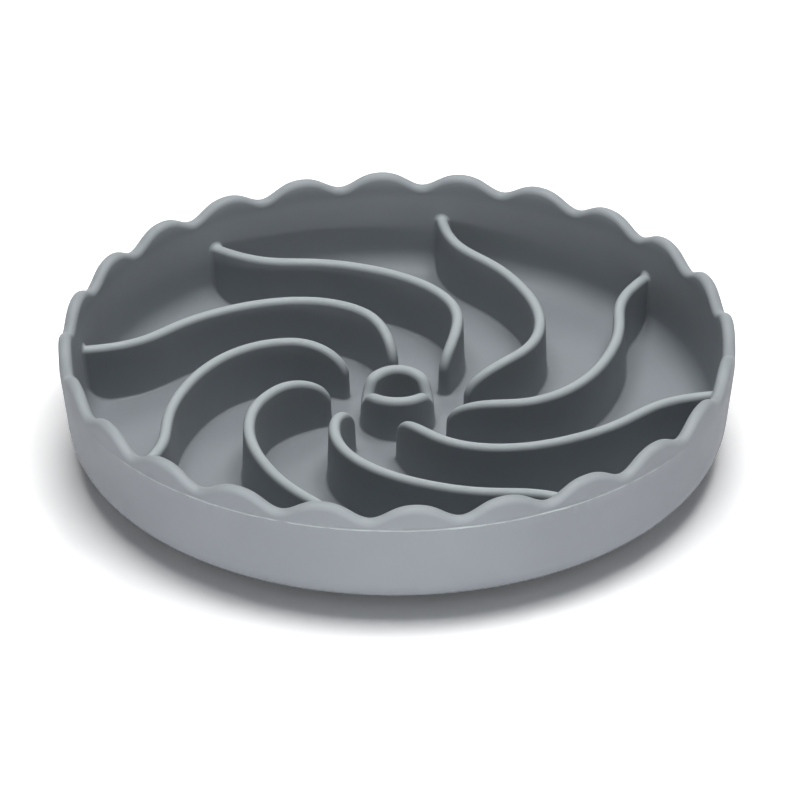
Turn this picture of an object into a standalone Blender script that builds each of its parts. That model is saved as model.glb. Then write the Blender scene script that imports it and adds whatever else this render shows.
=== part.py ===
"""Slow feeder bowl for a dog: soft silicone, with eight curved ribs, a hub ring and suction cups.

Run it with blender --background --python part.py, or from the text editor.
Lengths are in metres. +Z is up, the table is z = 0 and the bowl's axis is the Z axis.
"""

from math import atan2, cos, pi, radians, sin, sqrt, tan

import bmesh
import bpy
from mathutils import Matrix, Vector
from mathutils.geometry import interpolate_bezier

# Bowl: floor, rounded corner and a wall that leans out up to the mould's parting line
OUTER_RADIUS = 0.105
PARTING_HEIGHT = 0.0335
WALL_LEAN = radians(5.8)
WALL_THICKNESS = 0.0041
CORNER_RADIUS = 0.011
CORNER_POINTS = 6
INNER_CORNER_RADIUS = 0.008
INNER_CORNER_POINTS = 5
FLOOR_THICKNESS = 0.0023

# Scalloped rim: a rounded edge that rises and falls, with broad crests and narrow dips
SCALLOPS = 24
STEPS_PER_SCALLOP = 8
RIM_HEIGHT = 0.0367
RIM_WAVE = 0.00225
RIM_CREST_BROADENING = 0.13
RIM_PHASE = radians(2.75)
RIM_POINTS = 6

# Ribs: the plan is two Bezier spans that meet at the shoulder
RIB_COUNT = 8
RIB_CREST_HEIGHT = 0.0262
RIB_HALF_WIDTH = 0.00184
RIB_DRAFT = radians(2.0)
RIB_ROOT_FLARE = 0.0008
RIB_WALL_FLARE = 0.0014
RIB_FALL_LENGTH = 0.0196
RIB_FALL_DEPTH = 0.0109
RIB_OUTER_END = Vector((-0.0605, 0.0815))
RIB_OUTER_HANDLE = Vector((-0.0373, 0.0634))
RIB_SHOULDER = Vector((-0.0070, 0.0653))
RIB_SHOULDER_HEADING = radians(-22.4)
RIB_SHOULDER_REACH_OUT = 0.0301
RIB_SHOULDER_REACH_IN = 0.0213
RIB_INNER_HANDLE = Vector((0.0277, 0.0394))
RIB_INNER_END = Vector((0.0141, 0.0154))
RIB_LEAD_IN = 0.0060
RIB_SPAN_POINTS = 60
RIB_STATIONS = 20
RIB_FLARE_SHARES = (0.0, 0.25, 0.6)
RIB_NOSE_SHARES = (0.45, 0.8, 0.97)
RIB_TOP_POINTS = 5

# Hub: a low oval ring whose top dips at its two sides
HUB_WIDTH_RADIUS = 0.00935
HUB_DEPTH_RADIUS = 0.0099
HUB_HALF_WIDTH = 0.0021
HUB_CREST_HEIGHT = 0.0215
HUB_SAG = 0.0010
HUB_DIP = 0.0050
HUB_DIP_POWER = 16
HUB_DRAFT = radians(3.0)
HUB_ROOT_FLARE = 0.0006
HUB_TOP_POINTS = 7
HUB_STEPS = 64

# Suction cups under the floor
CUP_COUNT = 8
CUP_HEIGHT = 0.0047
CUP_RADIUS = 0.0130
CUP_RING_RADIUS = 0.0620
CUP_NECK_RADIUS = 0.0045
CUP_NECK_HEIGHT = 0.0012
CUP_WALL = 0.0011
CUP_HIP_RADIUS = 0.0098
CUP_HIP_HEIGHT = 0.0023
CUP_LIP_HEIGHT = 0.0007
CUP_LIP_WIDTH = 0.0016
CUP_ROOF_RADIUS = 0.0068
CUP_ROOF_SAG = 0.0004
CUP_STEPS = 20

# The hairline that separates neighbouring pieces
GAP = 0.0003

MERGE_DISTANCE = 1e-6
FLAT_ANGLE = radians(0.2)
SMOOTH_ANGLE = radians(40.0)

SILICONE_GREY = (0.29, 0.31, 0.34, 1.0)
SILICONE_ROUGHNESS = 0.55

BOWL_STEPS = SCALLOPS * STEPS_PER_SCALLOP
UNDERSIDE_HEIGHT = CUP_HEIGHT
FLOOR_HEIGHT = UNDERSIDE_HEIGHT + FLOOR_THICKNESS


def clear_scene():
    for obj in list(bpy.data.objects):
        bpy.data.objects.remove(obj, do_unlink=True)


def new_collection(name):
    collection = bpy.data.collections.new(name)
    bpy.context.scene.collection.children.link(collection)
    return collection


def silicone(name):
    material = bpy.data.materials.new(name)
    material.use_nodes = True
    shader = material.node_tree.nodes["Principled BSDF"]
    shader.inputs["Base Color"].default_value = SILICONE_GREY
    shader.inputs["Roughness"].default_value = SILICONE_ROUGHNESS
    shader.inputs["Metallic"].default_value = 0.0
    material.diffuse_color = SILICONE_GREY
    return material


def arc(centre, radius, start, end, count):
    """Points along an arc in the plane of radius and height, with both ends."""
    angles = [start + (end - start) * i / (count - 1) for i in range(count)]
    return [(centre[0] + radius * cos(a), centre[1] + radius * sin(a)) for a in angles]


def turned_mesh(name, profile, steps, phase=0.0):
    """A mesh turned about Z from a profile that runs down its outer side."""
    mesh = bpy.data.meshes.new(name)
    edges = [(i, i + 1) for i in range(len(profile) - 1)]
    mesh.from_pydata([(r, 0.0, z) for r, z in profile], edges, [])
    guide = bpy.data.objects.new(name + "_guide", mesh)
    bpy.context.scene.collection.objects.link(guide)
    screw = guide.modifiers.new("Turn", "SCREW")
    screw.steps = steps
    screw.render_steps = steps
    screw.use_merge_vertices = True
    screw.merge_threshold = MERGE_DISTANCE
    bpy.context.view_layer.update()
    evaluated = guide.evaluated_get(bpy.context.evaluated_depsgraph_get())
    turned = bpy.data.meshes.new_from_object(evaluated)
    bpy.data.objects.remove(guide, do_unlink=True)
    bpy.data.meshes.remove(mesh)
    turned.name = name
    turned.transform(Matrix.Rotation(phase, 4, "Z"))
    return turned


def smooth(mesh):
    mesh.shade_smooth()
    mesh.set_sharp_from_angle(angle=SMOOTH_ANGLE)


def add_part(name, mesh, material, parent, collection):
    part = bpy.data.objects.new(name, mesh)
    if not mesh.materials:
        mesh.materials.append(material)
    part.parent = parent
    collection.objects.link(part)
    return part


def outer_wall_radius(height):
    return OUTER_RADIUS - (PARTING_HEIGHT - height) * tan(WALL_LEAN)


def inner_wall_radius(height):
    return outer_wall_radius(height) - WALL_THICKNESS / cos(WALL_LEAN)


def inside_profile(offset):
    """Floor edge to wall inside the bowl, moved off the surface by an offset."""
    height = FLOOR_HEIGHT + INNER_CORNER_RADIUS
    radius = inner_wall_radius(height) - INNER_CORNER_RADIUS / cos(WALL_LEAN)
    corner = INNER_CORNER_RADIUS - offset
    return arc((radius, height), corner, -pi / 2, -WALL_LEAN, INNER_CORNER_POINTS)


def outside_profile():
    """Wall to underside edge, round the lower corner."""
    height = UNDERSIDE_HEIGHT + CORNER_RADIUS
    radius = outer_wall_radius(height) - CORNER_RADIUS / cos(WALL_LEAN)
    return arc((radius, height), CORNER_RADIUS, -WALL_LEAN, -pi / 2, CORNER_POINTS)


def rim_wave(angle):
    turn = SCALLOPS * (angle - RIM_PHASE)
    return RIM_WAVE * (cos(turn) - RIM_CREST_BROADENING * cos(2 * turn))


def bowl_mesh():
    half = WALL_THICKNESS / 2
    profile = [(0.0, FLOOR_HEIGHT)]
    profile += inside_profile(0.0)
    profile += arc((OUTER_RADIUS - half, RIM_HEIGHT), half, pi, 0.0, RIM_POINTS)
    profile += [(OUTER_RADIUS, PARTING_HEIGHT)]
    profile += outside_profile()
    profile += [(0.0, UNDERSIDE_HEIGHT)]
    mesh = turned_mesh("bowl_body", profile, BOWL_STEPS, RIM_PHASE)
    for vertex in mesh.vertices:
        if vertex.co.z > PARTING_HEIGHT + half:
            vertex.co.z += rim_wave(atan2(vertex.co.y, vertex.co.x))
    smooth(mesh)
    return mesh


def cavity_cutter(collection):
    """The space inside the bowl, a hairline clear of its surface."""
    top = RIB_CREST_HEIGHT + WALL_THICKNESS
    wall = inside_profile(GAP)
    profile = [(0.0, top), (inner_wall_radius(top) - GAP / cos(WALL_LEAN), top)]
    profile += wall[::-1]
    profile += [(0.0, FLOOR_HEIGHT + GAP)]
    mesh = turned_mesh("bowl_cavity", profile, BOWL_STEPS, RIM_PHASE)
    flat = bmesh.new()
    flat.from_mesh(mesh)
    bmesh.ops.dissolve_limit(flat, angle_limit=FLAT_ANGLE, verts=flat.verts, edges=flat.edges)
    flat.to_mesh(mesh)
    flat.free()
    cutter = bpy.data.objects.new("bowl_cavity", mesh)
    cutter.hide_render = True
    cutter.display_type = "WIRE"
    collection.objects.link(cutter)
    return cutter


def rib_path():
    """Points along the rib's plan, from beyond the wall to the inner end, with distances."""
    heading = Vector((cos(RIB_SHOULDER_HEADING), sin(RIB_SHOULDER_HEADING)))
    before = RIB_SHOULDER - heading * RIB_SHOULDER_REACH_OUT
    after = RIB_SHOULDER + heading * RIB_SHOULDER_REACH_IN
    count = RIB_SPAN_POINTS
    outer = interpolate_bezier(RIB_OUTER_END, RIB_OUTER_HANDLE, before, RIB_SHOULDER, count)
    inner = interpolate_bezier(RIB_SHOULDER, after, RIB_INNER_HANDLE, RIB_INNER_END, count)
    lead_in = RIB_OUTER_END + (RIB_OUTER_END - RIB_OUTER_HANDLE).normalized() * RIB_LEAD_IN
    points = [lead_in] + [p.xy for p in outer] + [p.xy for p in inner[1:]]
    distances = [0.0]
    for a, b in zip(points, points[1:]):
        distances.append(distances[-1] + (b - a).length)
    return points, distances


def place_along(points, distances, distance):
    """The point and the heading at a distance along the path."""
    last = len(points) - 1
    i = next((n for n in range(1, last) if distances[n] >= distance), last)
    share = (distance - distances[i - 1]) / (distances[i] - distances[i - 1])
    point = points[i - 1].lerp(points[i], share)
    ahead = points[min(i + 1, last)]
    behind = points[max(i - 2, 0)]
    return point, (ahead - behind).normalized()


def quarter(share):
    """Height of a unit quarter circle, from 1 at share 0 down to 0 at share 1."""
    return sqrt(max(0.0, 1.0 - share * share))


def fillet(depth, radius):
    """How far a fillet spreads at a depth from the wall that it runs into."""
    if depth >= radius:
        return 0.0
    return radius * (1.0 - quarter(1.0 - max(depth, 0.0) / radius))


def rib_section(half, crest):
    """Outline across the rib as (sideways, height), from one foot over the top to the other."""
    centre = crest - half
    root = FLOOR_HEIGHT + GAP + RIB_ROOT_FLARE
    foot = FLOOR_HEIGHT - GAP
    half_root = half + (centre - root) * tan(RIB_DRAFT)
    half_foot = half_root + RIB_ROOT_FLARE
    top = arc((0.0, centre), half, 0.0, pi, RIB_TOP_POINTS)
    return [(half_foot, foot), (half_root, root)] + top + [(-half_root, root), (-half_foot, foot)]


def rib_stations(length, wall):
    """Distances of the sections: close together at the wall and at the rounded nose."""
    nose = length - RIB_HALF_WIDTH
    flare = [wall + RIB_WALL_FLARE * share for share in RIB_FLARE_SHARES]
    start = wall + RIB_WALL_FLARE
    even = [start + (nose - start) * i / (RIB_STATIONS - 1) for i in range(RIB_STATIONS)]
    rounding = [nose + RIB_HALF_WIDTH * share for share in RIB_NOSE_SHARES]
    return [0.0] + flare + even + rounding


def rib_mesh(cutter, collection):
    """One rib: sections lofted along the path, then cut to the inside of the bowl."""
    points, distances = rib_path()
    length = distances[-1]
    nose = length - RIB_HALF_WIDTH
    fall_start = length - RIB_FALL_LENGTH
    wall_radius = inner_wall_radius(RIB_CREST_HEIGHT)
    wall = next(d for p, d in zip(points, distances) if p.length < wall_radius)
    loft = bmesh.new()
    rows = []
    for distance in rib_stations(length, wall):
        point, heading = place_along(points, distances, distance)
        side = Vector((heading.y, -heading.x))
        spread = fillet(distance - wall, RIB_WALL_FLARE)
        fall = max(0.0, distance - fall_start) / RIB_FALL_LENGTH
        crest = RIB_CREST_HEIGHT + spread / 2 - RIB_FALL_DEPTH * (1.0 - quarter(fall))
        half = (RIB_HALF_WIDTH + spread) * quarter(max(0.0, distance - nose) / RIB_HALF_WIDTH)
        rows.append([loft.verts.new((*(point + side * x), z)) for x, z in rib_section(half, crest)])
    for near, far in zip(rows, rows[1:]):
        for i in range(len(near)):
            j = (i + 1) % len(near)
            loft.faces.new((near[i], near[j], far[j], far[i]))
    loft.faces.new(rows[0][::-1])
    loft.faces.new(rows[-1])
    bmesh.ops.recalc_face_normals(loft, faces=loft.faces)
    blank_mesh = bpy.data.meshes.new("rib_blank")
    loft.to_mesh(blank_mesh)
    loft.free()
    blank = bpy.data.objects.new("rib_blank", blank_mesh)
    collection.objects.link(blank)
    trim = blank.modifiers.new("Trim", "BOOLEAN")
    trim.operation = "INTERSECT"
    trim.solver = "EXACT"
    trim.object = cutter
    bpy.context.view_layer.update()
    evaluated = blank.evaluated_get(bpy.context.evaluated_depsgraph_get())
    mesh = bpy.data.meshes.new_from_object(evaluated)
    mesh.name = "rib"
    bpy.data.objects.remove(blank, do_unlink=True)
    bpy.data.meshes.remove(blank_mesh)
    smooth(mesh)
    return mesh


def hub_mesh():
    """An oval ring with a half-round top that dips at the left and right sides."""
    half = HUB_HALF_WIDTH
    radius = HUB_WIDTH_RADIUS
    centre = HUB_CREST_HEIGHT - half
    foot = FLOOR_HEIGHT + GAP
    root = foot + HUB_ROOT_FLARE
    half_root = half + (centre - root) * tan(HUB_DRAFT)
    half_foot = half_root + HUB_ROOT_FLARE
    profile = [(radius - half_foot, foot), (radius - half_root, root)]
    profile += arc((radius, centre), half, pi, 0.0, HUB_TOP_POINTS)
    profile += [(radius + half_root, root), (radius + half_foot, foot)]
    profile += [profile[0]]
    mesh = turned_mesh("hub_ring", profile, HUB_STEPS)
    for vertex in mesh.vertices:
        if vertex.co.z > root + half:
            across = vertex.co.xy.normalized().x
            vertex.co.z -= HUB_SAG * across**2 + HUB_DIP * across**HUB_DIP_POWER
    mesh.transform(Matrix.Scale(HUB_DEPTH_RADIUS / HUB_WIDTH_RADIUS, 4, (0.0, 1.0, 0.0)))
    weld = bmesh.new()
    weld.from_mesh(mesh)
    bmesh.ops.remove_doubles(weld, verts=weld.verts, dist=MERGE_DISTANCE)
    bmesh.ops.recalc_face_normals(weld, faces=weld.faces)
    weld.to_mesh(mesh)
    weld.free()
    smooth(mesh)
    return mesh


def cup_mesh():
    """A shallow dome on a short neck, hollow below, with a flat lip on the table."""
    top = CUP_HEIGHT - GAP
    shoulder = top - CUP_NECK_HEIGHT
    lip_inside = CUP_RADIUS - CUP_LIP_WIDTH
    roof = shoulder - CUP_WALL
    profile = [(0.0, top), (CUP_NECK_RADIUS, top), (CUP_NECK_RADIUS, shoulder)]
    profile += [(CUP_HIP_RADIUS, CUP_HIP_HEIGHT), (CUP_RADIUS, CUP_LIP_HEIGHT), (CUP_RADIUS, 0.0)]
    profile += [(lip_inside, 0.0), (CUP_ROOF_RADIUS, roof - CUP_ROOF_SAG), (0.0, roof)]
    mesh = turned_mesh("suction_cup", profile, CUP_STEPS)
    smooth(mesh)
    return mesh


def main():
    clear_scene()
    parts = new_collection("slow_feeder_bowl")
    cutters = new_collection("cutters")
    axis = bpy.data.objects.new("bowl_axis", None)
    parts.objects.link(axis)

    add_part("bowl_body", bowl_mesh(), silicone("bowl_silicone"), axis, parts)

    ribs = rib_mesh(cavity_cutter(cutters), cutters)
    rib_silicone = silicone("rib_silicone")
    for i in range(RIB_COUNT):
        rib = add_part(f"rib_{i + 1}", ribs, rib_silicone, axis, parts)
        rib.rotation_euler.z = 2 * pi * i / RIB_COUNT

    add_part("hub_ring", hub_mesh(), silicone("hub_silicone"), axis, parts)

    cups = cup_mesh()
    cup_silicone = silicone("cup_silicone")
    for i in range(CUP_COUNT):
        angle = 2 * pi * i / CUP_COUNT
        cup = add_part(f"suction_cup_{i + 1}", cups, cup_silicone, axis, parts)
        cup.location = (CUP_RING_RADIUS * cos(angle), CUP_RING_RADIUS * sin(angle), 0.0)
        cup.rotation_euler.z = angle


main()
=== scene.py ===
"""Looks of the slow feeder bowl: one soft grey silicone moulding, standing on a white table.

Lengths are in metres, in the frame of the solids: the table is at z = 0, and the bowl's axis is
the Z axis.
"""

from math import cos, hypot, pi, radians, sin, tan

import bmesh
import bpy
import numpy as np
from mathutils import Matrix, Vector
from mathutils.geometry import interpolate_bezier


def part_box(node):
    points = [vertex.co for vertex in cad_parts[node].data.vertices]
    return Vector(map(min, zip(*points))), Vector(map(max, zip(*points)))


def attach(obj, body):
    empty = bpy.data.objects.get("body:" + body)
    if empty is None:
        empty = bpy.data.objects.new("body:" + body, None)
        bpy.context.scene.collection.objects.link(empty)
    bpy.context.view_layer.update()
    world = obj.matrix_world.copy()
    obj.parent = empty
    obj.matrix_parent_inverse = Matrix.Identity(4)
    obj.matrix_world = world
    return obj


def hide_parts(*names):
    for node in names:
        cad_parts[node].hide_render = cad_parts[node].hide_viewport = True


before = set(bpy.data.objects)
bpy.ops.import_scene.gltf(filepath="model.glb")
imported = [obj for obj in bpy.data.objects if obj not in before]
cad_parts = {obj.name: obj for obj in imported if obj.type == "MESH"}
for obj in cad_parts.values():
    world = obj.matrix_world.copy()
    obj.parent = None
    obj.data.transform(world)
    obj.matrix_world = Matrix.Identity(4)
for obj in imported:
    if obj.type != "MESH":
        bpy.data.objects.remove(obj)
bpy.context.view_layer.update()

BOWL_LOW, BOWL_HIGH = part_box("bowl_body")
CUP_LOW, CUP_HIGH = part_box("suction_cup_1")

# Bowl: floor, rounded corner and a wall that leans out up to the mould's parting line
OUTER_RADIUS = BOWL_HIGH.x
UNDERSIDE_HEIGHT = BOWL_LOW.z
PARTING_HEIGHT = 0.0335
WALL_LEAN = radians(5.8)
WALL_THICKNESS = 0.0041
CORNER_RADIUS = 0.011
INNER_CORNER_RADIUS = 0.008
FLOOR_THICKNESS = 0.0023
FLOOR_HEIGHT = UNDERSIDE_HEIGHT + FLOOR_THICKNESS
FLOOR_POINTS = 3
CORNER_POINTS = 12
INNER_WALL_POINTS = 9
OUTER_WALL_POINTS = 4
UPRIGHT_POINTS = 2

# Scalloped rim: a rounded edge that rises and falls, with broad crests and narrow dips
SCALLOPS = 24
STEPS_PER_SCALLOP = 32
RIM_HEIGHT = 0.0367
RIM_WAVE = 0.00225
RIM_CREST_BROADENING = 0.13
RIM_PHASE = radians(2.75)
RIM_POINTS = 13

# Flash: the thin uneven ridge that the mould leaves on its parting line, on one side of the bowl.
# A wave of it is given by how often it goes round and by its share of the height.
FLASH_HEIGHT = 0.00034
FLASH_WIDTH = 0.00066
FLASH_SIDE = radians(-92.0)
FLASH_FULL = radians(35.0)
FLASH_END = radians(60.0)
FLASH_WAVES = ((3, 0.15), (7, 0.15), (19, 0.15), (41, 0.22), (97, 0.28))
FLASH_SEED = 5

# Ribs: the plan is two Bezier spans that meet at the shoulder
RIB_COUNT = 8
RIB_CREST_HEIGHT = 0.0262
RIB_HALF_WIDTH = 0.00184
RIB_DRAFT = tan(radians(2.0))
RIB_ROOT_FILLET = 0.0008
RIB_WALL_FILLET = 0.0011
RIB_FALL_LENGTH = 0.0196
RIB_FALL_DEPTH = 0.0109
RIB_OUTER_END = Vector((-0.0605, 0.0815))
RIB_OUTER_HANDLE = Vector((-0.0373, 0.0634))
RIB_SHOULDER = Vector((-0.0070, 0.0653))
RIB_SHOULDER_HEADING = radians(-22.4)
RIB_SHOULDER_REACH_OUT = 0.0301
RIB_SHOULDER_REACH_IN = 0.0213
RIB_INNER_HANDLE = Vector((0.0277, 0.0394))
RIB_INNER_END = Vector((0.0141, 0.0154))
RIB_LEAD_IN = 0.0060
RIB_SPAN_POINTS = 300
RIB_HEADING_REACH = 0.0004
RIB_FOOT_POINTS = 7
RIB_FACE_POINTS = 8
RIB_TOP_POINTS = 15

# Stations along a rib: close ones from inside the wall until clear of it, wide ones, then the fall
RIB_WALL_BEFORE = 0.0010
RIB_WALL_AFTER = 0.0040
RIB_WALL_STATIONS = 60
RIB_WALL_SEARCH = 40
RIB_LEVEL_STATIONS = 70
RIB_FALL_STATIONS = 26

# Hub: a low oval ring whose top dips at its two sides
HUB_WIDTH_RADIUS = 0.00935
HUB_DEPTH_RADIUS = 0.0099
HUB_HALF_WIDTH = 0.0021
HUB_CREST_HEIGHT = 0.0215
HUB_SAG = 0.0010
HUB_DIP = 0.0050
HUB_DIP_POWER = 16
HUB_DRAFT = tan(radians(3.0))
HUB_FILLET = 0.0006
HUB_STEPS = 192
HUB_SLOPE_STEP = 1e-4
HUB_FOOT_POINTS = 7
HUB_FACE_POINTS = 7
HUB_TOP_POINTS = 17

# Suction cups under the floor
CUP_COUNT = 8
CUP_RADIUS = (CUP_HIGH.y - CUP_LOW.y) / 2
CUP_RING_RADIUS = CUP_HIGH.x - CUP_RADIUS
CUP_NECK_RADIUS = 0.0045
CUP_NECK_HEIGHT = 0.0012
CUP_WALL = 0.0011
CUP_HIP_RADIUS = 0.0098
CUP_HIP_HEIGHT = 0.0023
CUP_LIP_HEIGHT = 0.0007
CUP_LIP_WIDTH = 0.0016
CUP_ROOF_BEND = (0.6, 0.8)  # shares of the lip's radius and of the roof's height
CUP_STEPS = 64

# How far a piece runs into the one that carries it, so that the moulding looks unbroken
SINK = 0.0003

# How a fillet goes on below the surface that it runs into: how deep, and how steeply it spreads
HIDDEN_DEPTH_SHARE = 0.25
HIDDEN_SPREAD = 3.0

# Clean-up of the skins
WELD_DISTANCE = 1e-7
SLIVER_DISTANCE = 1e-8
SMOOTH_ANGLE = radians(50.0)

# Silicone: a grey with faint mottling, and a painted highlight, a paler grey, on crests that face
# up and on the flash
SILICONE_GREY = (0.240, 0.262, 0.283)
SILICONE_IOR = 1.41
ROUGHNESS_RANGE = (0.54, 0.62)
MOTTLE = 0.04
PAINTED_HIGHLIGHT_GREY = (0.408, 0.450, 0.465)
BOWL_PAINTED_HIGHLIGHT = 0.4
CREST_PAINTED_HIGHLIGHT = 1.0
CUP_PAINTED_HIGHLIGHT = 0.0
PAINTED_HIGHLIGHT_FACING = (0.1, 0.8)
RIM_PAINTED_HIGHLIGHT_HEIGHTS = (0.028, 0.032)
CREST_PAINTED_HIGHLIGHT_HEIGHTS = (0.0140, 0.0160)
FLASH_PAINTED_HIGHLIGHT_REACH = (0.00005, 0.00025)

# Noises of the silicone as scale and detail, the span of their values that counts, and bump depths
MOTTLE_NOISE = (35.0, 3.0)
ROUGHNESS_NOISE = (90.0, 4.0)
GRAIN_NOISE = (2200.0, 2.0)
SWELL_NOISE = (70.0, 1.0)
NOISE_SPAN = (0.3, 0.7)
GRAIN_DEPTH = 0.00004
SWELL_DEPTH = 0.0001
BUMP_STRENGTH = 0.3

# Camera of the photo, as a place, three turns and a lens
CAMERA_PLACE = (0.0, -1.1817, 0.7238)
CAMERA_PITCH = radians(30.960)
CAMERA_YAW = radians(0.039)
CAMERA_ROLL = radians(-0.368)
CAMERA_LENS = 197.97
CAMERA_SENSOR = 36.0
CAMERA_CLIP = (0.05, 50.0)

# Table: its own colour, the white that it shows to the camera and in reflections, and the distances
# at which it begins to turn into the backdrop and has done so
TABLE_HALF_SIZE = 6.0
TABLE_COLOUR = (0.90, 0.85, 0.89)
TABLE_WHITE = (1.36, 1.36, 1.36)
BACKDROP_START = 0.30
BACKDROP_END = 0.55
BACKDROP_STRENGTH = 1.0

# Lamps: name, place, width, height and power
LAMPS = (
    ("softbox", (0.0, -0.05, 1.0), 0.70, 0.40, 7.5),
    ("side_panel", (0.30, 0.10, 0.95), 0.3, 0.3, 1.7),
    ("back_panel", (0.0, 0.85, 0.85), 0.4, 0.4, 2.3),
    ("front_panel", (0.0, -1.40, 0.13), 1.0, 0.22, 6.3),
    ("front_strip", (0.0, -1.40, 0.022), 1.0, 0.036, 7.0),
)

# World: a glow along the horizon that ends between two heights, and the dim sky above it
HORIZON_HEIGHTS = (0.01, 0.03)
HORIZON_STRENGTH = 4.0
SKY_STRENGTH = 0.01


def arc(centre, radius, start, end, count):
    """Points along an arc in the plane of radius and height, with both ends."""
    angles = np.linspace(start, end, count)
    return [(centre[0] + radius * cos(a), centre[1] + radius * sin(a)) for a in angles]


def line(start, end, count):
    """Points between two ends, without the ends themselves."""
    shares = np.linspace(0.0, 1.0, count + 2)[1:-1]
    along, up = end[0] - start[0], end[1] - start[1]
    return [(start[0] + along * s, start[1] + up * s) for s in shares]


def add_grid(mesh, rows, wrap_rows=False, wrap_columns=False):
    """Adds a quad skin over rows of points to a bmesh."""
    verts = [[mesh.verts.new(p) for p in row] for row in rows]
    row_count = len(verts)
    column_count = len(verts[0])
    for i in range(row_count if wrap_rows else row_count - 1):
        near = verts[i]
        far = verts[(i + 1) % row_count]
        for j in range(column_count if wrap_columns else column_count - 1):
            k = (j + 1) % column_count
            mesh.faces.new((near[j], near[k], far[k], far[j]))


def finish_piece(name, mesh, material):
    """Welds the skins, closes them, and links the result as an object."""
    bmesh.ops.remove_doubles(mesh, verts=mesh.verts, dist=WELD_DISTANCE)
    bmesh.ops.dissolve_degenerate(mesh, edges=mesh.edges, dist=SLIVER_DISTANCE)
    bmesh.ops.holes_fill(mesh, edges=mesh.edges, sides=0)
    bmesh.ops.recalc_face_normals(mesh, faces=mesh.faces)
    data = bpy.data.meshes.new(name)
    mesh.to_mesh(data)
    mesh.free()
    data.shade_smooth()
    data.set_sharp_from_angle(angle=SMOOTH_ANGLE)
    data.materials.append(material)
    piece = bpy.data.objects.new(name, data)
    bpy.context.scene.collection.objects.link(piece)
    return piece


def outer_wall_radius(height):
    return OUTER_RADIUS - (PARTING_HEIGHT - height) * tan(WALL_LEAN)


def inner_wall_radius(height):
    return outer_wall_radius(height) - WALL_THICKNESS / cos(WALL_LEAN)


INNER_CORNER = (
    inner_wall_radius(FLOOR_HEIGHT + INNER_CORNER_RADIUS) - INNER_CORNER_RADIUS / cos(WALL_LEAN),
    FLOOR_HEIGHT + INNER_CORNER_RADIUS,
)


def wall_distance(points):
    """Distance from points to the inside of the wall, taken as if it ran on below the floor."""
    radius = np.hypot(points[..., 0], points[..., 1])
    return (inner_wall_radius(points[..., 2]) - radius) * cos(WALL_LEAN)


def ground_height(plan):
    """Height of the bowl's inside, floor and rounded corner, under points in plan."""
    out = np.hypot(plan[..., 0], plan[..., 1]) - INNER_CORNER[0]
    out = np.clip(out, 0.0, INNER_CORNER_RADIUS * cos(WALL_LEAN))
    return INNER_CORNER[1] - np.sqrt(INNER_CORNER_RADIUS**2 - out**2)


def fillet(distance, radius):
    """How far a surface spreads at a distance from the one that it runs into.

    Below that surface it spreads on, out of sight, so that the shading stays smooth up to the seam.
    """
    share = np.clip(1.0 - distance / radius, 0.0, 1.0)
    hidden = np.clip(-distance, 0.0, radius * HIDDEN_DEPTH_SHARE)
    return radius * (1.0 - np.sqrt(1.0 - share**2)) + HIDDEN_SPREAD * hidden


def rim_wave(angle):
    turn = SCALLOPS * (angle - RIM_PHASE)
    return RIM_WAVE * (cos(turn) - RIM_CREST_BROADENING * cos(2 * turn))


def flash_heights(count):
    """Uneven height of the flash round the bowl: one long stretch, with swells and small nicks."""
    chance = np.random.default_rng(FLASH_SEED)
    angles = np.linspace(0.0, 2 * pi, count, endpoint=False)
    height = np.ones(count)
    for waves, share in FLASH_WAVES:
        height += share * np.sin(waves * angles + chance.uniform(0.0, 2 * pi))
    away = np.abs((angles - FLASH_SIDE + pi) % (2 * pi) - pi)
    return FLASH_HEIGHT * height * np.interp(away, (FLASH_FULL, FLASH_END), (1.0, 0.0))


def bowl_profile(rim_height, flash):
    """Outline of the bowl's section, from the middle of the floor over the rim to the underside."""
    half = WALL_THICKNESS / 2
    inside = arc(INNER_CORNER, INNER_CORNER_RADIUS, -pi / 2, -WALL_LEAN, CORNER_POINTS)
    crease = (OUTER_RADIUS - WALL_THICKNESS, PARTING_HEIGHT)
    rim = arc((OUTER_RADIUS - half, rim_height), half, pi, 0.0, RIM_POINTS)
    parting = [
        (OUTER_RADIUS, PARTING_HEIGHT + FLASH_WIDTH / 2),
        (OUTER_RADIUS + flash, PARTING_HEIGHT + FLASH_WIDTH / 8),
        (OUTER_RADIUS + flash, PARTING_HEIGHT - FLASH_WIDTH / 8),
        (OUTER_RADIUS, PARTING_HEIGHT - FLASH_WIDTH / 2),
    ]
    height = UNDERSIDE_HEIGHT + CORNER_RADIUS
    centre = (outer_wall_radius(height) - CORNER_RADIUS / cos(WALL_LEAN), height)
    outside = arc(centre, CORNER_RADIUS, -WALL_LEAN, -pi / 2, CORNER_POINTS)
    middle = (0.0, FLOOR_HEIGHT)
    below = (0.0, UNDERSIDE_HEIGHT)
    profile = [middle] + line(middle, inside[0], FLOOR_POINTS) + inside
    profile += line(inside[-1], crease, INNER_WALL_POINTS) + [crease]
    profile += line(crease, rim[0], UPRIGHT_POINTS) + rim
    profile += line(rim[-1], parting[0], UPRIGHT_POINTS) + parting
    profile += line(parting[-1], outside[0], OUTER_WALL_POINTS) + outside
    return profile + line(outside[-1], below, FLOOR_POINTS) + [below]


def bowl_piece(material):
    count = SCALLOPS * STEPS_PER_SCALLOP
    rows = []
    for i, flash in enumerate(flash_heights(count)):
        angle = 2 * pi * i / count
        profile = bowl_profile(RIM_HEIGHT + rim_wave(angle), flash)
        rows.append([(r * cos(angle), r * sin(angle), z) for r, z in profile])
    mesh = bmesh.new()
    add_grid(mesh, rows, wrap_rows=True)
    return finish_piece("bowl_moulding", mesh, material)


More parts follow.
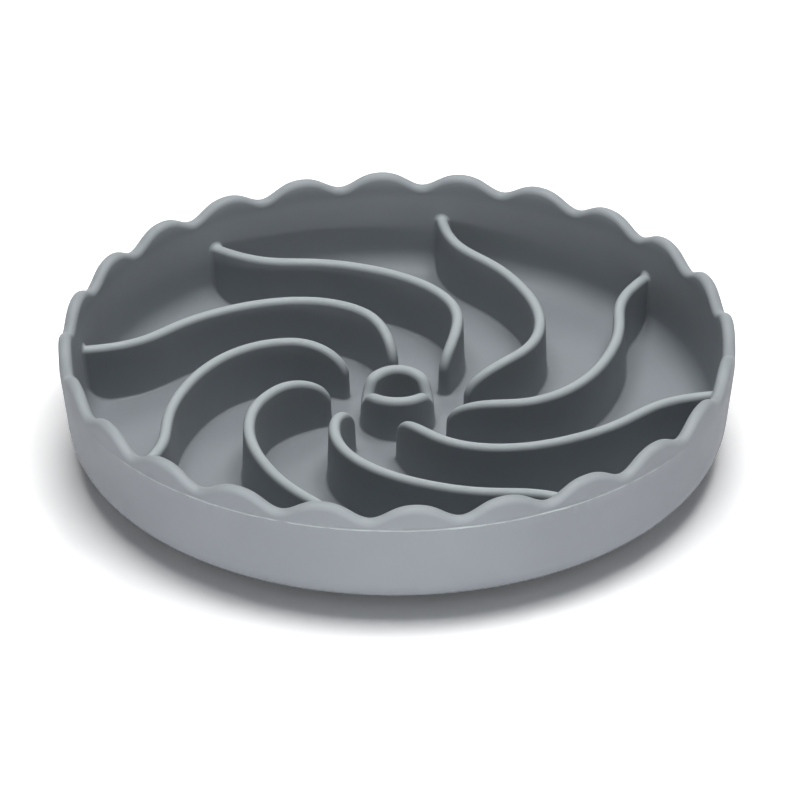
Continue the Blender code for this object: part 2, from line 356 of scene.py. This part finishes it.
def rib_path():
    """Close points along the rib's plan, from inside the wall to the inner end, with distances."""
    heading = Vector((cos(RIB_SHOULDER_HEADING), sin(RIB_SHOULDER_HEADING)))
    before = RIB_SHOULDER - heading * RIB_SHOULDER_REACH_OUT
    after = RIB_SHOULDER + heading * RIB_SHOULDER_REACH_IN
    count = RIB_SPAN_POINTS
    outer = interpolate_bezier(RIB_OUTER_END, RIB_OUTER_HANDLE, before, RIB_SHOULDER, count)
    inner = interpolate_bezier(RIB_SHOULDER, after, RIB_INNER_HANDLE, RIB_INNER_END, count)
    lead_in = RIB_OUTER_END + (RIB_OUTER_END - RIB_OUTER_HANDLE).normalized() * RIB_LEAD_IN
    points = np.array([lead_in[:]] + [p[:2] for p in outer] + [p[:2] for p in inner[1:]])
    steps = np.hypot(*np.diff(points, axis=0).T)
    return points, np.concatenate([[0.0], np.cumsum(steps)])


def along_path(points, distances, stations):
    """Places, headings and sideways directions at stations along the path."""

    def at(where):
        return np.stack([np.interp(where, distances, points[:, k]) for k in (0, 1)], axis=1)

    heading = at(stations + RIB_HEADING_REACH) - at(stations - RIB_HEADING_REACH)
    heading /= np.hypot(heading[:, 0], heading[:, 1])[:, None]
    return at(stations), heading, np.stack([-heading[:, 1], heading[:, 0]], axis=1)


def rib_side(places, outward, spine):
    """Rows of points up a rib's side: one sunk in the floor, the fillet, then the drafted face.

    The three arguments hold one entry for each column: its place in plan, which way it faces, and
    the height at which the round top begins.
    """
    half = RIB_HALF_WIDTH
    turn = np.linspace(0.0, pi / 2, RIB_FOOT_POINTS)
    rise = RIB_ROOT_FILLET * (1.0 - np.cos(turn))
    flare = RIB_ROOT_FILLET * (1.0 - np.sin(turn))
    ground = ground_height(places + outward * (half + RIB_ROOT_FILLET))
    reach = half + (spine - ground)[:, None] * RIB_DRAFT + flare
    plan = places[:, None, :] + outward[:, None, :] * reach[..., None]
    height = ground_height(plan) + rise
    foot = np.concatenate([plan, height[..., None]], axis=2)
    sunk = foot[:, :1] - np.array([0.0, 0.0, SINK])

    share = np.linspace(0.0, 1.0, RIB_FACE_POINTS)[1:]
    height = height[:, -1:] * (1.0 - share) + spine[:, None] * share
    reach = half + (spine[:, None] - height) * RIB_DRAFT
    plan = places[:, None, :] + outward[:, None, :] * reach[..., None]
    face = np.concatenate([plan, height[..., None]], axis=2)
    side = np.concatenate([sunk, foot, face], axis=1)
    normal = np.zeros_like(side)
    normal[..., :2] = outward[:, None, :]
    return spread(side, normal)


def spread(points, normals):
    """Moves points out along the wall where they come close to it, as a fillet does."""
    radius = np.hypot(points[..., 0], points[..., 1])[..., None]
    rise = np.full_like(radius, sin(WALL_LEAN))
    inward = np.concatenate([-points[..., :2] / radius * cos(WALL_LEAN), rise], axis=-1)
    along = normals - inward * np.sum(normals * inward, axis=-1, keepdims=True)
    along /= np.maximum(np.linalg.norm(along, axis=-1, keepdims=True), 1e-6)
    return points + along * fillet(wall_distance(points), RIB_WALL_FILLET)[..., None]


def rib_rows():
    """The rib's skin: a loft along the path, and the round nose at its inner end."""
    points, distances = rib_path()
    half = RIB_HALF_WIDTH
    near_wall = slice(0, RIB_WALL_SEARCH)
    radii = np.hypot(*points.T)
    crest_radius = inner_wall_radius(RIB_CREST_HEIGHT)
    wall = np.interp(-crest_radius, -radii[near_wall], distances[near_wall])
    fall_start = distances[-1] - RIB_FALL_LENGTH
    close = np.linspace(wall - RIB_WALL_BEFORE, wall + RIB_WALL_AFTER, RIB_WALL_STATIONS)
    level = np.linspace(close[-1], fall_start, RIB_LEVEL_STATIONS)[1:-1]
    fall = np.linspace(0.0, pi / 2, RIB_FALL_STATIONS)
    falling = fall_start + (RIB_FALL_LENGTH - half) * np.sin(fall)
    stations = np.concatenate([close, level, falling])
    tilt = np.concatenate([np.zeros(len(close) + len(level)), fall])
    spine = RIB_CREST_HEIGHT - RIB_FALL_DEPTH + (RIB_FALL_DEPTH - half) * np.cos(tilt)
    places, heading, sideways = along_path(points, distances, stations)

    turn = np.linspace(0.0, pi, RIB_TOP_POINTS)
    lean = np.concatenate([heading * np.sin(tilt)[:, None], np.cos(tilt)[:, None]], axis=1)
    across = np.concatenate([sideways, np.zeros((len(stations), 1))], axis=1)
    normal = across[:, None, :] * np.cos(turn)[None, :, None]
    normal = normal + lean[:, None, :] * np.sin(turn)[None, :, None]
    centre = np.concatenate([places, spine[:, None]], axis=1)
    top = spread(centre[:, None, :] + half * normal, normal)
    left = rib_side(places, sideways, spine)
    right = rib_side(places, -sideways, spine)
    loft = np.concatenate([left, top[:, 1:-1], right[:, ::-1]], axis=1)

    around = sideways[-1] * np.cos(turn)[:, None] + heading[-1] * np.sin(turn)[:, None]
    end = np.repeat(places[-1:], len(turn), axis=0)
    return loft, rib_side(end, around, np.repeat(spine[-1:], len(turn)))


def rib_piece(name, turn, material):
    loft, nose = rib_rows()
    mesh = bmesh.new()
    add_grid(mesh, loft, wrap_columns=True)
    add_grid(mesh, nose)
    bmesh.ops.transform(mesh, matrix=Matrix.Rotation(turn, 4, "Z"), verts=mesh.verts)
    return finish_piece(name, mesh, material)


def hub_crest(angle):
    dip = HUB_DIP * cos(angle) ** HUB_DIP_POWER
    return HUB_CREST_HEIGHT - HUB_SAG * cos(angle) ** 2 - dip


def hub_piece(material):
    half = HUB_HALF_WIDTH
    rows = []
    for i in range(HUB_STEPS):
        angle = 2 * pi * i / HUB_STEPS
        place = np.array([HUB_WIDTH_RADIUS * cos(angle), HUB_DEPTH_RADIUS * sin(angle), 0.0])
        onward = np.array([-HUB_WIDTH_RADIUS * sin(angle), HUB_DEPTH_RADIUS * cos(angle), 0.0])
        pace = np.linalg.norm(onward)
        onward /= pace
        outward = np.array([onward[1], -onward[0], 0.0])
        step = HUB_SLOPE_STEP
        slope = (hub_crest(angle + step) - hub_crest(angle - step)) / (2 * step * pace)
        upward = (np.array([0.0, 0.0, 1.0]) - slope * onward) / hypot(1.0, slope)
        spine = place + np.array([0.0, 0.0, hub_crest(angle)]) - half * upward
        turn = np.linspace(0.0, pi, HUB_TOP_POINTS)
        top = spine + half * (np.cos(turn)[:, None] * outward + np.sin(turn)[:, None] * upward)
        rise = spine[2] - FLOOR_HEIGHT
        foot = HUB_FILLET * (1.0 - np.cos(np.linspace(0.0, pi / 2, HUB_FOOT_POINTS)))
        face = np.linspace(HUB_FILLET, rise, HUB_FACE_POINTS)[1:-1]
        up = np.concatenate([[-SINK], foot, face])
        reach = half + (rise - up) * HUB_DRAFT + fillet(up, HUB_FILLET)
        share = np.clip(up / rise, 0.0, 1.0)[:, None]
        base = place * (1.0 - share) + spine * share
        base[:, 2] = FLOOR_HEIGHT + up
        outside = base + reach[:, None] * outward
        inside = base - reach[:, None] * outward
        rows.append(np.concatenate([outside, top, inside[::-1]]))
    mesh = bmesh.new()
    add_grid(mesh, rows, wrap_rows=True, wrap_columns=True)
    return finish_piece("hub_moulding", mesh, material)


def cup_piece(name, angle, material):
    """A shallow dome on a short neck, hollow below, with a flat lip on the table."""
    top = UNDERSIDE_HEIGHT + SINK
    shoulder = UNDERSIDE_HEIGHT - CUP_NECK_HEIGHT
    roof = shoulder - CUP_WALL
    lip_inside = CUP_RADIUS - CUP_LIP_WIDTH
    neck = [(0.0, top), (CUP_NECK_RADIUS, top), (CUP_NECK_RADIUS, shoulder)]
    dome = [(CUP_HIP_RADIUS, CUP_HIP_HEIGHT), (CUP_RADIUS, CUP_LIP_HEIGHT), (CUP_RADIUS, 0.0)]
    bend = (lip_inside * CUP_ROOF_BEND[0], roof * CUP_ROOF_BEND[1])
    profile = neck + dome + [(lip_inside, 0.0), bend, (0.0, roof)]
    centre = Vector((CUP_RING_RADIUS * cos(angle), CUP_RING_RADIUS * sin(angle), 0.0))
    rows = []
    for i in range(CUP_STEPS):
        turn = 2 * pi * i / CUP_STEPS
        rows.append([centre + Vector((r * cos(turn), r * sin(turn), z)) for r, z in profile])
    mesh = bmesh.new()
    add_grid(mesh, rows, wrap_rows=True)
    return finish_piece(name, mesh, material)


def silicone(name, highlight_share, highlight_heights):
    """Matte grey silicone: faint mottling, a fine moulded grain, and a painted highlight.

    The painted highlight, a paler grey, lies on what faces up above the highlight heights, and on
    the thin flash outside the wall.
    """
    material = bpy.data.materials.new(name)
    material.use_nodes = True
    nodes = material.node_tree.nodes
    links = material.node_tree.links
    shader = nodes["Principled BSDF"]
    place = nodes.new("ShaderNodeTexCoord")

    def noise(scale, detail):
        node = nodes.new("ShaderNodeTexNoise")
        node.inputs["Scale"].default_value = scale
        node.inputs["Detail"].default_value = detail
        links.new(place.outputs["Object"], node.inputs["Vector"])
        return node.outputs["Fac"]

    def ramp(value, span, low=0.0, high=1.0):
        node = nodes.new("ShaderNodeMapRange")
        node.inputs["From Min"].default_value = span[0]
        node.inputs["From Max"].default_value = span[1]
        node.inputs["To Min"].default_value = low
        node.inputs["To Max"].default_value = high
        links.new(value, node.inputs["Value"])
        return node.outputs["Result"]

    def join(operation, first, second):
        node = nodes.new("ShaderNodeMath")
        node.operation = operation
        links.new(first, node.inputs[0])
        links.new(second, node.inputs[1])
        return node.outputs["Value"]

    def upward(direction):
        node = nodes.new("ShaderNodeSeparateXYZ")
        links.new(direction, node.inputs["Vector"])
        return node.outputs["Z"]

    def blend(share, low, high):
        node = nodes.new("ShaderNodeMix")
        node.data_type = "RGBA"
        links.new(share, node.inputs["Factor"])
        for socket, colour in ((node.inputs["A"], low), (node.inputs["B"], high)):
            if isinstance(colour, tuple):
                socket.default_value = (*colour, 1.0)
            else:
                links.new(colour, socket)
        return node.outputs["Result"]

    def bump(height, distance, base):
        node = nodes.new("ShaderNodeBump")
        node.inputs["Strength"].default_value = BUMP_STRENGTH
        node.inputs["Distance"].default_value = distance
        links.new(height, node.inputs["Height"])
        if base:
            links.new(base, node.inputs["Normal"])
        return node.outputs["Normal"]

    # Painted highlight: a paler grey on what faces up above the given heights
    facing_up = ramp(upward(place.outputs["Normal"]), PAINTED_HIGHLIGHT_FACING, high=highlight_share)
    crest = join("MULTIPLY", facing_up, ramp(upward(place.outputs["Object"]), highlight_heights))
    flat = nodes.new("ShaderNodeVectorMath")
    flat.operation = "MULTIPLY"
    flat.inputs[1].default_value = (1.0, 1.0, 0.0)
    links.new(place.outputs["Object"], flat.inputs[0])
    radius = nodes.new("ShaderNodeVectorMath")
    radius.operation = "LENGTH"
    links.new(flat.outputs["Vector"], radius.inputs[0])
    # Painted highlight on the flash: a paler grey just outside the wall's outer radius
    flash = ramp(radius.outputs["Value"], [OUTER_RADIUS + reach for reach in FLASH_PAINTED_HIGHLIGHT_REACH])
    darker = tuple(c * (1.0 - MOTTLE) for c in SILICONE_GREY)
    lighter = tuple(c * (1.0 + MOTTLE) for c in SILICONE_GREY)
    mottled = blend(ramp(noise(*MOTTLE_NOISE), NOISE_SPAN), darker, lighter)
    colour = blend(join("MAXIMUM", crest, flash), mottled, PAINTED_HIGHLIGHT_GREY)
    links.new(colour, shader.inputs["Base Color"])
    roughness = ramp(noise(*ROUGHNESS_NOISE), NOISE_SPAN, *ROUGHNESS_RANGE)
    links.new(roughness, shader.inputs["Roughness"])
    grain = bump(noise(*GRAIN_NOISE), GRAIN_DEPTH, None)
    links.new(bump(noise(*SWELL_NOISE), SWELL_DEPTH, grain), shader.inputs["Normal"])
    shader.inputs["Metallic"].default_value = 0.0
    shader.inputs["IOR"].default_value = SILICONE_IOR
    return material


def dress(piece, node):
    """Puts a piece in place of the solid that it dresses."""
    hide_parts(node)
    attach(piece, "root")


def build_object():
    look = silicone("bowl_silicone_look", BOWL_PAINTED_HIGHLIGHT, RIM_PAINTED_HIGHLIGHT_HEIGHTS)
    dress(bowl_piece(look), "bowl_body")
    look = silicone("rib_silicone_look", CREST_PAINTED_HIGHLIGHT, CREST_PAINTED_HIGHLIGHT_HEIGHTS)
    for i in range(RIB_COUNT):
        piece = rib_piece(f"rib_moulding_{i + 1}", 2 * pi * i / RIB_COUNT, look)
        dress(piece, f"rib_{i + 1}")
    look = silicone("hub_silicone_look", CREST_PAINTED_HIGHLIGHT, CREST_PAINTED_HIGHLIGHT_HEIGHTS)
    dress(hub_piece(look), "hub_ring")
    look = silicone("cup_silicone_look", CUP_PAINTED_HIGHLIGHT, CREST_PAINTED_HIGHLIGHT_HEIGHTS)
    for i in range(CUP_COUNT):
        piece = cup_piece(f"cup_moulding_{i + 1}", 2 * pi * i / CUP_COUNT, look)
        dress(piece, f"suction_cup_{i + 1}")


def add_camera():
    data = bpy.data.cameras.new("camera")
    data.lens = CAMERA_LENS
    data.sensor_width = CAMERA_SENSOR
    data.clip_start, data.clip_end = CAMERA_CLIP
    camera = bpy.data.objects.new("camera", data)
    turn = Matrix.Rotation(-CAMERA_YAW, 4, "Z") @ Matrix.Rotation(pi / 2 - CAMERA_PITCH, 4, "X")
    roll = Matrix.Rotation(CAMERA_ROLL, 4, "Z")
    camera.matrix_world = Matrix.Translation(CAMERA_PLACE) @ turn @ roll
    bpy.context.scene.collection.objects.link(camera)
    bpy.context.scene.camera = camera


def seen_share(nodes, links):
    """A socket that is 1 for rays that show a surface to the camera, also by reflection, else 0."""
    path = nodes.new("ShaderNodeLightPath")
    total = path.outputs["Is Camera Ray"]
    for kind in ("Is Glossy Ray", "Is Transmission Ray"):
        join = nodes.new("ShaderNodeMath")
        join.operation = "MAXIMUM"
        links.new(total, join.inputs[0])
        links.new(path.outputs[kind], join.inputs[1])
        total = join.outputs["Value"]
    return total


def add_floor():
    """A white table that keeps the bowl's shadow and runs out into a plain white backdrop."""
    mesh = bmesh.new()
    bmesh.ops.create_grid(mesh, x_segments=1, y_segments=1, size=TABLE_HALF_SIZE)
    data = bpy.data.meshes.new("table_top")
    mesh.to_mesh(data)
    mesh.free()
    floor = bpy.data.objects.new("table_top", data)
    bpy.context.scene.collection.objects.link(floor)
    material = bpy.data.materials.new("table_white")
    material.use_nodes = True
    nodes = material.node_tree.nodes
    links = material.node_tree.links
    nodes.remove(nodes["Principled BSDF"])
    white = nodes.new("ShaderNodeMix")
    white.data_type = "RGBA"
    white.inputs["A"].default_value = (*TABLE_COLOUR, 1.0)
    white.inputs["B"].default_value = (*TABLE_WHITE, 1.0)
    seen = seen_share(nodes, links)
    links.new(seen, white.inputs["Factor"])
    diffuse = nodes.new("ShaderNodeBsdfDiffuse")
    links.new(white.outputs["Result"], diffuse.inputs["Color"])
    place = nodes.new("ShaderNodeTexCoord")
    reach = nodes.new("ShaderNodeVectorMath")
    reach.operation = "LENGTH"
    links.new(place.outputs["Object"], reach.inputs[0])
    far = nodes.new("ShaderNodeMapRange")
    far.inputs["From Min"].default_value = BACKDROP_START
    far.inputs["From Max"].default_value = BACKDROP_END
    links.new(reach.outputs["Value"], far.inputs["Value"])
    share = nodes.new("ShaderNodeMath")
    share.operation = "MULTIPLY"
    links.new(far.outputs["Result"], share.inputs[0])
    links.new(seen, share.inputs[1])
    backdrop = nodes.new("ShaderNodeEmission")
    backdrop.inputs["Color"].default_value = (1.0, 1.0, 1.0, 1.0)
    backdrop.inputs["Strength"].default_value = BACKDROP_STRENGTH
    mix = nodes.new("ShaderNodeMixShader")
    links.new(share.outputs["Value"], mix.inputs[0])
    links.new(diffuse.outputs["BSDF"], mix.inputs[1])
    links.new(backdrop.outputs["Emission"], mix.inputs[2])
    links.new(mix.outputs["Shader"], nodes["Material Output"].inputs["Surface"])
    data.materials.append(material)


def add_panel(name, place, width, height, power):
    """An area light that faces the bowl."""
    light = bpy.data.lights.new(name, "AREA")
    light.shape = "RECTANGLE"
    light.size = width
    light.size_y = height
    light.energy = power
    panel = bpy.data.objects.new(name, light)
    panel.location = place
    panel.rotation_euler = Vector(place).to_track_quat("Z", "Y").to_euler()
    bpy.context.scene.collection.objects.link(panel)


def add_light():
    """A softbox overhead, weak panels around the bowl, and a glow along the horizon."""
    for lamp in LAMPS:
        add_panel(*lamp)

    world = bpy.data.worlds.new("horizon")
    bpy.context.scene.world = world
    world.use_nodes = True
    nodes = world.node_tree.nodes
    links = world.node_tree.links
    place = nodes.new("ShaderNodeTexCoord")
    split = nodes.new("ShaderNodeSeparateXYZ")
    links.new(place.outputs["Generated"], split.inputs["Vector"])
    band = nodes.new("ShaderNodeMapRange")
    band.inputs["From Min"].default_value = HORIZON_HEIGHTS[0]
    band.inputs["From Max"].default_value = HORIZON_HEIGHTS[1]
    band.inputs["To Min"].default_value = HORIZON_STRENGTH
    band.inputs["To Max"].default_value = SKY_STRENGTH
    links.new(split.outputs["Z"], band.inputs["Value"])
    seen = nodes.new("ShaderNodeMix")
    seen.data_type = "FLOAT"
    seen.inputs["B"].default_value = BACKDROP_STRENGTH
    links.new(seen_share(nodes, links), seen.inputs["Factor"])
    links.new(band.outputs["Result"], seen.inputs["A"])
    links.new(seen.outputs["Result"], nodes["Background"].inputs["Strength"])
    nodes["Background"].inputs["Color"].default_value = (1.0, 1.0, 1.0, 1.0)


bpy.context.scene.view_settings.view_transform = "Standard"
add_camera()
add_floor()
add_light()
build_object()
